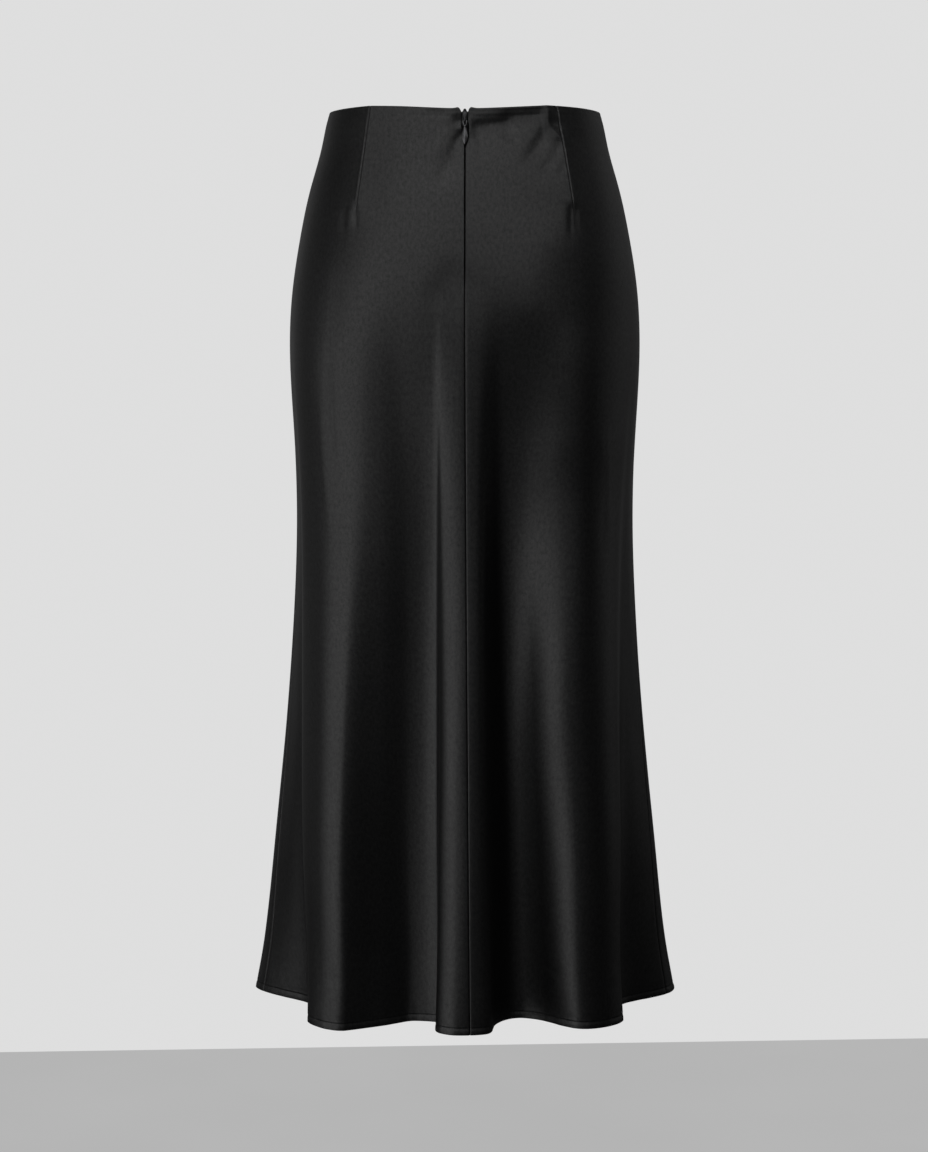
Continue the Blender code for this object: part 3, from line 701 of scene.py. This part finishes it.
def waves(a, z, count, long, tall, seed):
    """Gentle unevenness: a sum of soft waves, long in mm along the cloth and tall in mm up it."""
    pick = np.random.default_rng(seed)
    out = np.zeros(a.shape)
    for _ in range(count):
        ka, kz = TAU / (long / 1000 * pick.uniform(0.7, 1.5)), TAU / (tall / 1000 * pick.uniform(0.7, 1.5))
        out += np.sin(ka * a + pick.choice([-1, 1]) * kz * z + pick.uniform(0, TAU)) * pick.uniform(0.4, 1)
    return out / math.sqrt(count)


def shape_panel(panel, creases, darts, seed, centre_seam=None):
    a, z, up, drop = panel.arc, panel.z, panel.up, panel.drop
    push = panel.push
    for _, start, end, bend, width, height, head, tail, *slack in creases:
        push += soft_line(a, z, start, end, bend, width, height, head, tail, *slack)
    # seams: the cloth dips to the stitching, and swells a little over the allowances beside it
    for near in (panel.from_start, panel.from_end):
        d = np.clip(near, 0, None)
        push += -0.00040 * bump(d, 0.0006) - 0.00012 * bump(d, 0.0018) + 0.00014 * bump(d - 0.0040, 0.0024)
    # darts: a fine ditch with a raised lip towards the side, on the corner that the fold makes
    for _, waist, point, deep, high, outer, inner, fade in darts:
        t = np.clip(drop / (deep / 1000), 0, 1)
        line = (waist + (point - waist) * t) / 1000
        off = (a - line) * np.sign(waist)              # + is towards the side
        stays = 1 - smooth(drop, deep / 1000 - 0.004, deep / 1000 + 0.003)
        # the cloth turns a corner at the dart and lies nearly flat on each side of it
        flat = 1 - smooth(drop, deep / 1000 - 0.006, (deep + fade) / 1000)
        # at the top of the right dart the corner runs off to the inside, where the cloth is dragged
        corner = off + (0.0115 * (1 - smooth(drop, 0.016, 0.038)) if waist > 0 else 0.0)
        width = np.where(corner > 0, outer, inner) / 1000
        push += flat * high / 1000 * np.clip(1 - np.abs(corner) / width, 0, None) ** 2
        push += stays * (-0.00065 * bump(off, 0.00045) + 0.00014 * bump(off - 0.0016, 0.0007))
    # edge of the waist's turning, the hem's stitched groove and the fullness of its turning
    push += 0.00008 * bump(drop - 0.0019, 0.0006) - 0.00009 * bump(drop - 0.0033, 0.0006) \
        - 0.00012 * bump(drop - WAIST_TURN, 0.0011)
    push += -0.00034 * bump(up - 0.0070, np.where(up > 0.0070, 0.00050, 0.0016)) + 0.00010 * bump(up - 0.0036, 0.0016) \
        - 0.00010 * bump(up - 0.0098, 0.0018)
    # the stitched hem puckers a little
    pucker = waves(a, z, 7, 14.0, 60.0, seed) * np.exp(-np.clip(up - 0.004, 0, None) / 0.010) * 0.00014
    fine = waves(a, z, 5, 5.0, 40.0, seed + 1) * np.exp(-np.abs(up - 0.0070) / 0.0035) * 0.00005
    push += pucker + fine
    # slow unevenness of cloth cut on the bias and hung
    push += waves(a, z, 6, 60.0, 260.0, seed + 2) * 0.00012 * smooth(drop, 0.02, 0.12)


shape_panel(right, CREASES_BACK, [DARTS[0]], 41)
shape_panel(left, CREASES_BACK, [DARTS[1]], 57)
shape_panel(front, CREASES_FRONT, [], 73)

# below the zip the centre seam is drawn in; over it the two turned edges lie flat and nearly meet
for panel, near in ((right, right.from_start), (left, left.from_end)):
    over_zip = smooth(panel.z, ZIP_END - 0.006, ZIP_END + 0.004)
    panel.push += over_zip * (0.00020 * bump(near, 0.0014) - 0.00010 * bump(near - 0.0045, 0.0020))

cloth_objects = {}
outer_points = {}
for name, panel, node in (("satin_back_right", right, "back_panel_right"),
                          ("satin_back_left", left, "back_panel_left"),
                          ("satin_front", front, "front_panel")):
    mesh, outer = shell_mesh(name, panel)
    obj = add_piece(name, mesh, (satin, satin_inside), "skirt")
    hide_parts(node)
    cloth_objects[name], outer_points[name] = obj, outer

# ================================================================ hem stitches
def joined(name, points, faces_each, count):
    """Many copies of a small closed shape as one mesh."""
    size = points.shape[1]
    faces = []
    base = np.array(faces_each, dtype=object)
    for k in range(count):
        shift = k * size
        faces += [[v + shift for v in f] for f in base]
    mesh = bpy.data.meshes.new(name)
    mesh.from_pydata(points.reshape(-1, 3).tolist(), [], faces)
    mesh.shade_smooth()
    mesh.update()
    return mesh


def bead(around=6):
    """Unit stitch along X: rings of points from end to end, and its faces."""
    rings = [(-0.50, 0.25, -0.9), (-0.40, 0.75, -0.25), (0.0, 1.0, 0.0), (0.40, 0.75, -0.25), (0.50, 0.25, -0.9)]
    points = []
    for x, r, lift in rings:
        for k in range(around):
            angle = TAU * k / around
            points.append((x, r * math.cos(angle), r * math.sin(angle) + lift))
    faces = []
    for r in range(len(rings) - 1):
        for k in range(around):
            a, b = r * around + k, r * around + (k + 1) % around
            faces.append([a, b, b + around, a + around])
    faces.append(list(range(around))[::-1])
    faces.append([(len(rings) - 1) * around + k for k in range(around)])
    return np.array(points), faces


STITCH_PITCH, STITCH_LONG, STITCH_THICK = 0.0028, 0.0023, 0.00019
for name, panel in (("satin_back_right", right), ("satin_back_left", left), ("satin_front", front)):
    row = int(np.argmin(np.abs(rows_from_hem - 0.0070)))
    line = outer_points[name][row][8:-8]
    n = panel.normal[row][8:-8]
    run = np.append(0.0, np.cumsum(np.linalg.norm(np.diff(line, axis=0), axis=1)))
    count = int((run[-1] - 0.002) / STITCH_PITCH)
    middle_at = 0.001 + STITCH_PITCH * (np.arange(count) + 0.5)
    at = np.stack([np.interp(middle_at, run, line[:, k]) for k in range(3)], -1)
    ahead = np.stack([np.interp(middle_at + 0.001, run, line[:, k]) for k in range(3)], -1)
    out = np.stack([np.interp(middle_at, run, n[:, k]) for k in range(3)], -1)
    along = ahead - at
    along /= np.linalg.norm(along, axis=1, keepdims=True)
    side = np.cross(out, along)
    side /= np.linalg.norm(side, axis=1, keepdims=True)
    up = np.cross(along, side)
    shape, faces = bead()
    pts = (at[:, None] + shape[None, :, 0:1] * STITCH_LONG * along[:, None]
           + shape[None, :, 1:2] * STITCH_THICK * side[:, None]
           + (shape[None, :, 2:3] * STITCH_THICK * 0.75 + 0.00004) * up[:, None])
    stitches = add_piece(name.replace("satin", "hem_stitches"), joined("hem_stitches", pts, faces, count),
                         (thread,), "skirt")
    cloth_objects[name + "_stitches"] = stitches

# ================================================================ zip tapes and coil
def strip_mesh(name, grid, thickness):
    """Closed strip from a grid of points: solid from its own normals."""
    n = vertex_normals(grid)
    rows, cols = grid.shape[:2]
    verts = np.concatenate([(grid + n * thickness / 2).reshape(-1, 3), (grid - n * thickness / 2).reshape(-1, 3)])
    o = np.arange(rows * cols).reshape(rows, cols)
    i = o + rows * cols
    faces = np.stack([o[:-1, :-1], o[1:, :-1], o[1:, 1:], o[:-1, 1:]], -1).reshape(-1, 4).tolist()
    faces += np.stack([i[:-1, :-1], i[:-1, 1:], i[1:, 1:], i[1:, :-1]], -1).reshape(-1, 4).tolist()
    faces += np.stack([o[0, :-1], o[0, 1:], i[0, 1:], i[0, :-1]], -1).tolist()
    faces += np.stack([o[-1, 1:], o[-1, :-1], i[-1, :-1], i[-1, 1:]], -1).tolist()
    faces += np.stack([o[1:, 0], o[:-1, 0], i[:-1, 0], i[1:, 0]], -1).tolist()
    faces += np.stack([o[:-1, -1], o[1:, -1], i[1:, -1], i[:-1, -1]], -1).tolist()
    mesh = bpy.data.meshes.new(name)
    mesh.from_pydata(verts.tolist(), [], faces)
    mesh.shade_smooth()
    mesh.update()
    return mesh


def back_frame(z):
    """Points, outward and sideways directions of the cloth at the centre back, at these heights."""
    z = np.asarray(z, float)
    p = surface(np.zeros_like(z), z)
    n = np.cross(surface(np.zeros_like(z), z - 1e-3) - surface(np.zeros_like(z), z + 1e-3),
                 surface(np.full_like(z, 1e-4), z) - surface(np.full_like(z, -1e-4), z))
    return p, n / np.linalg.norm(n, axis=1, keepdims=True)


heights = np.linspace(ZIP_TOP, ZIP_END, 96)
for side, label in ((1, "right"), (-1, "left")):
    p, n = back_frame(heights)
    grid = []
    for k, w in enumerate(np.linspace(0.0009, 0.0112, 9)):
        wavy = 0.00015 * np.sin(heights * 260 + side) * smooth(w, 0.004, 0.011)
        away = 0.0047 - 0.0008 * (w / 0.0112) + wavy
        at = np.zeros_like(heights)
        run = np.linalg.norm(surface(2e-4, -0.1) - surface(-2e-4, -0.1)) / 4e-4
        u = side * w / run
        q = surface(np.full_like(heights, u), heights)
        nn = np.cross(surface(np.full_like(heights, u), heights - 1e-3) - surface(np.full_like(heights, u), heights + 1e-3),
                      surface(np.full_like(heights, u + 1e-4), heights) - surface(np.full_like(heights, u - 1e-4), heights))
        nn /= np.linalg.norm(nn, axis=1, keepdims=True)
        grid.append(q - nn * away[:, None])
    grid = np.stack(grid if side > 0 else grid[::-1], 1)
    obj = add_piece(f"zip_tape_{label}", strip_mesh(f"zip_tape_{label}", grid, 0.00045), (tape_weave,),
                    "skirt")


def tube(name, path, radius, around=6, flat=1.0):
    """Closed tube along a path of points."""
    path = np.asarray(path, float)
    ahead = np.gradient(path, axis=0)
    ahead /= np.linalg.norm(ahead, axis=1, keepdims=True)
    ref = np.array([0.31, 0.52, 0.79])
    first = np.cross(ahead, ref)
    first /= np.linalg.norm(first, axis=1, keepdims=True)
    second = np.cross(ahead, first)
    angle = TAU * np.arange(around) / around
    radius = np.broadcast_to(np.asarray(radius, float), (len(path),))
    rings = path[:, None] + radius[:, None, None] * (
        np.cos(angle)[None, :, None] * first[:, None] + flat * np.sin(angle)[None, :, None] * second[:, None])
    n = len(path)
    o = np.arange(n * around).reshape(n, around)
    nxt = np.roll(o, -1, axis=1)
    faces = np.stack([o[:-1], nxt[:-1], nxt[1:], o[1:]], -1).reshape(-1, 4).tolist()
    faces.append(o[0][::-1].tolist())
    faces.append(o[-1].tolist())
    mesh = bpy.data.meshes.new(name)
    mesh.from_pydata(rings.reshape(-1, 3).tolist(), [], faces)
    mesh.shade_smooth()
    mesh.update()
    return mesh


COIL_PITCH = 0.00125
coil_top, coil_end = ZIP_TOP + 0.001, ZIP_END + 0.001
turns = int((coil_top - coil_end) / COIL_PITCH)
for side, label in ((1, "right"), (-1, "left")):
    s = np.linspace(0, turns, turns * 12 + 1)
    angle = TAU * s + (math.pi if side < 0 else 0.0)
    z = coil_top - s * COIL_PITCH
    p, n = back_frame(z)
    across = side * (0.00075 + 0.00135 * np.cos(angle))
    depth = 0.0056 + 0.00062 * np.sin(angle)
    path = p + np.array([1.0, 0, 0])[None] * across[:, None] - n * depth[:, None]
    obj = add_piece(f"zip_coil_{label}", tube(f"zip_coil_{label}", path, 0.00026), (thread,), "skirt")
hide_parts("zip_chain")

# ================================================================ slider and pull
def ringed(name, stations, caps=True):
    """Closed lofted body through rings of points, each with the same count."""
    rings = np.array(stations, float)
    n, around = rings.shape[:2]
    o = np.arange(n * around).reshape(n, around)
    nxt = np.roll(o, -1, axis=1)
    faces = np.stack([o[:-1], nxt[:-1], nxt[1:], o[1:]], -1).reshape(-1, 4).tolist()
    if caps:
        faces.append(o[0][::-1].tolist())
        faces.append(o[-1].tolist())
    mesh = bpy.data.meshes.new(name)
    mesh.from_pydata(rings.reshape(-1, 3).tolist(), [], faces)
    return mesh


def facing_out(mesh):
    import bmesh
    bm = bmesh.new()
    bm.from_mesh(mesh)
    bmesh.ops.recalc_face_normals(bm, faces=bm.faces)
    bm.to_mesh(mesh)
    bm.free()
    mesh.shade_smooth()
    mesh.update()
    return mesh


def superellipse(half_x, half_y, power, count):
    t = TAU * np.arange(count) / count
    c, s = np.cos(t), np.sin(t)
    return np.stack([half_x * np.sign(c) * np.abs(c) ** (2 / power),
                     half_y * np.sign(s) * np.abs(s) ** (2 / power)], -1)


def merge(name, meshes):
    import bmesh
    bm = bmesh.new()
    for m in meshes:
        bm.from_mesh(m)
    mesh = bpy.data.meshes.new(name)
    bm.to_mesh(mesh)
    bm.free()
    mesh.shade_smooth()
    mesh.update()
    return mesh


# slider: a rounded body behind the seam with its top in the notch, and a bridge that comes out of
# the notch and turns down to hold the pull.  Rings are drawn in (x, out) at each height.
SLIDER = [  # height above the pull's axis, half width, half thickness, out from the body's middle
    (-0.0062, 0.0030, 0.0006, 0.0000), (-0.0058, 0.0036, 0.0010, 0.0000), (-0.0040, 0.0038, 0.0013, 0.0000),
    (0.0000, 0.0038, 0.0014, 0.0000), (0.0045, 0.0038, 0.0014, 0.0002), (0.0066, 0.0037, 0.0014, 0.0004),
    (0.0078, 0.0035, 0.0013, 0.0006), (0.0085, 0.0030, 0.0011, 0.0008), (0.0089, 0.0021, 0.0008, 0.0009),
    (0.0091, 0.0009, 0.0004, 0.0009)]
body_middle = PULL_AXIS.y + 0.0067
rings = []
for up_, half_x, half_y, out_ in SLIDER:
    ring = superellipse(half_x, half_y, 2.6, 28)
    rings.append([(x, body_middle - out_ + y, PULL_AXIS.z + up_) for x, y in ring])
slider_body = facing_out(ringed("slider_body", rings))
# the bridge, out from the pull's axis (+ is out of the skirt) and up, with half its thickness and width
BRIDGE = [(-0.0052, 0.0100, 0.0006, 0.0010), (-0.0040, 0.0107, 0.0006, 0.0010), (-0.0026, 0.0105, 0.0006, 0.0012),
          (-0.0012, 0.0088, 0.0006, 0.0020), (-0.0003, 0.0062, 0.0006, 0.0022), (0.0002, 0.0036, 0.0006, 0.0014),
          (0.0006, 0.0016, 0.0006, 0.0009), (0.0011, 0.0004, 0.0006, 0.0008), (0.0011, -0.0007, 0.0006, 0.0007),
          (0.0003, -0.0015, 0.0006, 0.0007), (-0.0008, -0.0014, 0.0006, 0.0007), (-0.0016, -0.0008, 0.0006, 0.0008),
          (-0.0030, 0.0004, 0.0006, 0.0009), (-0.0048, 0.0016, 0.0006, 0.0010)]
line = np.array(BRIDGE)
t = np.linspace(0, 1, len(line))
tt = np.linspace(0, 1, 60)
curve = spline(t, line, tt)
tangent = np.gradient(curve[:, :2], axis=0)
tangent /= np.linalg.norm(tangent, axis=1, keepdims=True)
rings = []
for (out_, up_, half, wide), (t_out, t_up) in zip(curve, tangent):
    ring = superellipse(wide, half, 2.3, 20)
    n_out, n_up = -t_up, t_out
    rings.append([(x, PULL_AXIS.y - (out_ + n_out * y), PULL_AXIS.z + up_ + n_up * y) for x, y in ring])
bridge = facing_out(ringed("slider_bridge", rings))
slider_mesh = merge("slider_and_bridge", [slider_body, bridge])
of_bridge = np.arange(len(slider_mesh.polygons)) >= len(slider_body.polygons)
slider_mesh.polygons.foreach_set("material_index", of_bridge.astype(np.int32))
slider_mesh.update()
slider = add_piece("slider_and_bridge", slider_mesh, (slider_lacquer, bridge_lacquer), "skirt")
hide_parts("zip_slider")

# pull: a drop with a domed face, a narrow neck, and an eye round the pin
DROP = [  # down from the axis, half width, dome, back
    (0.0046, 0.00100, 0.00050, 0.00040), (0.0056, 0.00108, 0.00054, 0.00040), (0.0070, 0.00132, 0.00060, 0.00042),
    (0.0088, 0.00172, 0.00068, 0.00045), (0.0108, 0.00216, 0.00076, 0.00045), (0.0128, 0.00250, 0.00082, 0.00045),
    (0.0146, 0.00264, 0.00084, 0.00045), (0.0162, 0.00258, 0.00082, 0.00045), (0.0180, 0.00226, 0.00074, 0.00042),
    (0.0198, 0.00172, 0.00062, 0.00040), (0.0214, 0.00112, 0.00048, 0.00034), (0.0225, 0.00062, 0.00034, 0.00026),
    (0.0231, 0.00026, 0.00018, 0.00014)]
table = np.array(DROP)
down = np.linspace(table[0, 0], table[-1, 0], 72)
fine_drop = spline(table[:, 0], table[:, 1:], down)
rings = []
for d, (half, dome, back) in zip(down, fine_drop):
    ring = []
    for k in range(36):
        angle = TAU * k / 36
        c, s = math.cos(angle), math.sin(angle)
        x = half * math.copysign(abs(c) ** 0.80, c)
        # two soft facets that meet in a ridge on the front, and a flatter back
        ridge = -0.16 * half
        away = (x - ridge) / (half - ridge) if x > ridge else (ridge - x) / (half + ridge)
        out_ = 1.40 * dome * (1 - away ** 1.15) if s > 0 else -back * abs(s) ** 0.55
        ring.append((x, out_, -d))
    rings.append(ring)
drop_mesh = facing_out(ringed("pull_drop", rings))
# two prongs: rounded wires from the neck up each side, thick where they hold the pin
PRONG = [  # to the side, down from the axis, radius
    (0.00050, 0.0056, 0.00042), (0.00075, 0.0047, 0.00040), (0.00115, 0.0038, 0.00044), (0.00150, 0.0030, 0.00056),
    (0.00170, 0.0022, 0.00070), (0.00175, 0.0013, 0.00070), (0.00172, 0.0005, 0.00060), (0.00168, -0.0001, 0.00044),
    (0.00166, -0.0004, 0.00020)]
prong_line = spline(np.linspace(0, 1, len(PRONG)), np.array(PRONG), np.linspace(0, 1, 33))
loop = merge("pull_prongs", [facing_out(tube("pull_prong", [(side * x, 0.00012, -d) for x, d, _ in prong_line],
                                             prong_line[:, 2], around=14)) for side in (1, -1)])
pin = facing_out(tube("pull_pin", [(x, 0.0, 0.0) for x in np.linspace(-0.0017, 0.0017, 9)], 0.00042, around=12))
pull_mesh = merge("zip_pull_drop", [drop_mesh, loop, pin])
# stand it up: local (x, out, up) to the row frame, leaning with the cloth
lean_c, lean_s = math.cos(PULL_LEAN), math.sin(PULL_LEAN)
for v in pull_mesh.vertices:
    x, out_, up_ = v.co
    # a point below the axis swings out by the lean, as the cloth slopes out below the waist
    v.co = (x + PULL_AXIS.x, PULL_AXIS.y - (out_ * lean_c - up_ * lean_s), PULL_AXIS.z + up_ * lean_c + out_ * lean_s)
pull_mesh.update()
pull = add_piece("zip_pull_drop", pull_mesh, (pull_lacquer,), "pull")
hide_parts("zip_pull")

# ================================================================ floor, backdrop and light
FLOOR_Z = -2.13
WALL_Y = 4.0
floor_mesh = bpy.data.meshes.new("studio_floor")
yaw = math.radians(3.0)
far_left, far_right = WALL_Y - 9 * math.tan(yaw), WALL_Y + 9 * math.tan(yaw)
floor_mesh.from_pydata([(-9, -9, FLOOR_Z), (9, -9, FLOOR_Z), (9, far_right, FLOOR_Z), (-9, far_left, FLOOR_Z)],
                       [], [(0, 1, 2, 3)])
floor = bpy.data.objects.new("studio_floor", floor_mesh)
scene.collection.objects.link(floor)
mat = bpy.data.materials.new("studio_floor")
mat.use_nodes = True
nodes, links = mat.node_tree.nodes, mat.node_tree.links
nodes.remove(nodes["Principled BSDF"])
where = add_node(nodes, "ShaderNodeTexCoord")
mottle = add_node(nodes, "ShaderNodeTexNoise", Scale=1.2, Detail=4.0)
links.new(where.outputs["Object"], mottle.inputs["Vector"])
glow = add_node(nodes, "ShaderNodeEmission")
links.new(ranged(nodes, links, mottle.outputs["Fac"], 0.455, 0.475), glow.inputs["Strength"])
links.new(glow.outputs["Emission"], nodes["Material Output"].inputs["Surface"])
floor_mesh.materials.append(mat)
floor.visible_glossy = False
floor.visible_diffuse = False
floor.visible_shadow = False

world = bpy.data.worlds.new("studio")
scene.world = world
world.use_nodes = True
nodes, links = world.node_tree.nodes, world.node_tree.links
nodes.clear()
out = add_node(nodes, "ShaderNodeOutputWorld")
seen = add_node(nodes, "ShaderNodeBackground")
seen.inputs["Color"].default_value = (0.735, 0.735, 0.735, 1.0)
unseen = add_node(nodes, "ShaderNodeBackground")
unseen.inputs["Color"].default_value = (0.023, 0.023, 0.023, 1.0)
pick = add_node(nodes, "ShaderNodeMixShader")
path_ = add_node(nodes, "ShaderNodeLightPath")
links.new(path_.outputs["Is Camera Ray"], pick.inputs["Fac"])
links.new(unseen.outputs["Background"], pick.inputs[1])
links.new(seen.outputs["Background"], pick.inputs[2])
links.new(pick.outputs["Shader"], out.inputs["Surface"])

scene.view_settings.view_transform = "Standard"
scene.view_settings.look = "None"

# azimuth is measured from the camera's side, + to the right; each light faces the aim height
LIGHT_COLUMNS = ("name", "azimuth", "distance", "height", "aim", "width", "tall", "radiance")
LIGHTS = [
    ("key_left", -53.0, 2.6, -0.95, -0.50, 1.3, 2.6, 1.10),
    ("left_middle", -28.0, 2.6, 0.05, -0.20, 1.9, 1.3, 0.89),
    ("left_high", -39.0, 2.6, 1.75, 0.05, 2.6, 2.9, 0.62),
    ("centre_high", -3.0, 2.6, 1.90, 0.30, 1.8, 0.75, 2.35),
    ("right_high", 37.0, 2.6, 1.60, 0.30, 1.5, 0.8, 2.07),
    ("right_middle", 14.0, 2.6, 0.50, 0.30, 0.8, 0.55, 2.60),
    ("left_low", -77.0, 3.0, -0.70, -0.65, 1.6, 1.0, 0.62),
    ("side_right", 108.0, 3.0, 0.30, -0.10, 2.6, 2.5, 0.20),
    ("side_left", -122.0, 3.0, 0.00, -0.25, 2.3, 3.2, 0.12),
    ("front_left", -156.0, 3.0, -0.20, -0.45, 1.6, 2.4, 0.12),
    ("front_right", 152.0, 3.0, -0.20, -0.45, 1.4, 2.2, 0.09),
    ("front_middle", 180.0, 3.0, -0.70, -0.50, 0.8, 1.2, 1.70),
    ("front_high", 176.0, 2.8, 1.80, 0.00, 1.7, 0.9, 3.00),
    ("front_high_left", -156.0, 2.8, 1.80, -0.10, 1.0, 0.8, 2.40),
    ("front_high_right", 146.0, 2.8, 1.70, -0.10, 1.0, 0.8, 2.20),
]
for name, azimuth, distance, height, aim, wide, tall, radiance in LIGHTS:
    data = bpy.data.lights.new(name, "AREA")
    data.shape, data.size, data.size_y = "RECTANGLE", wide, tall
    data.energy = 1.11 * radiance * math.pi * wide * tall
    light = bpy.data.objects.new(name, data)
    a = math.radians(azimuth)
    light.location = (distance * math.sin(a), -distance * math.cos(a), height)
    light.rotation_euler = (Vector((0, 0, aim)) - light.location).to_track_quat("-Z", "Z").to_euler()
    light.visible_camera = False
    scene.collection.objects.link(light)

# ================================================================ bring the scene up to date
bpy.context.view_layer.update()
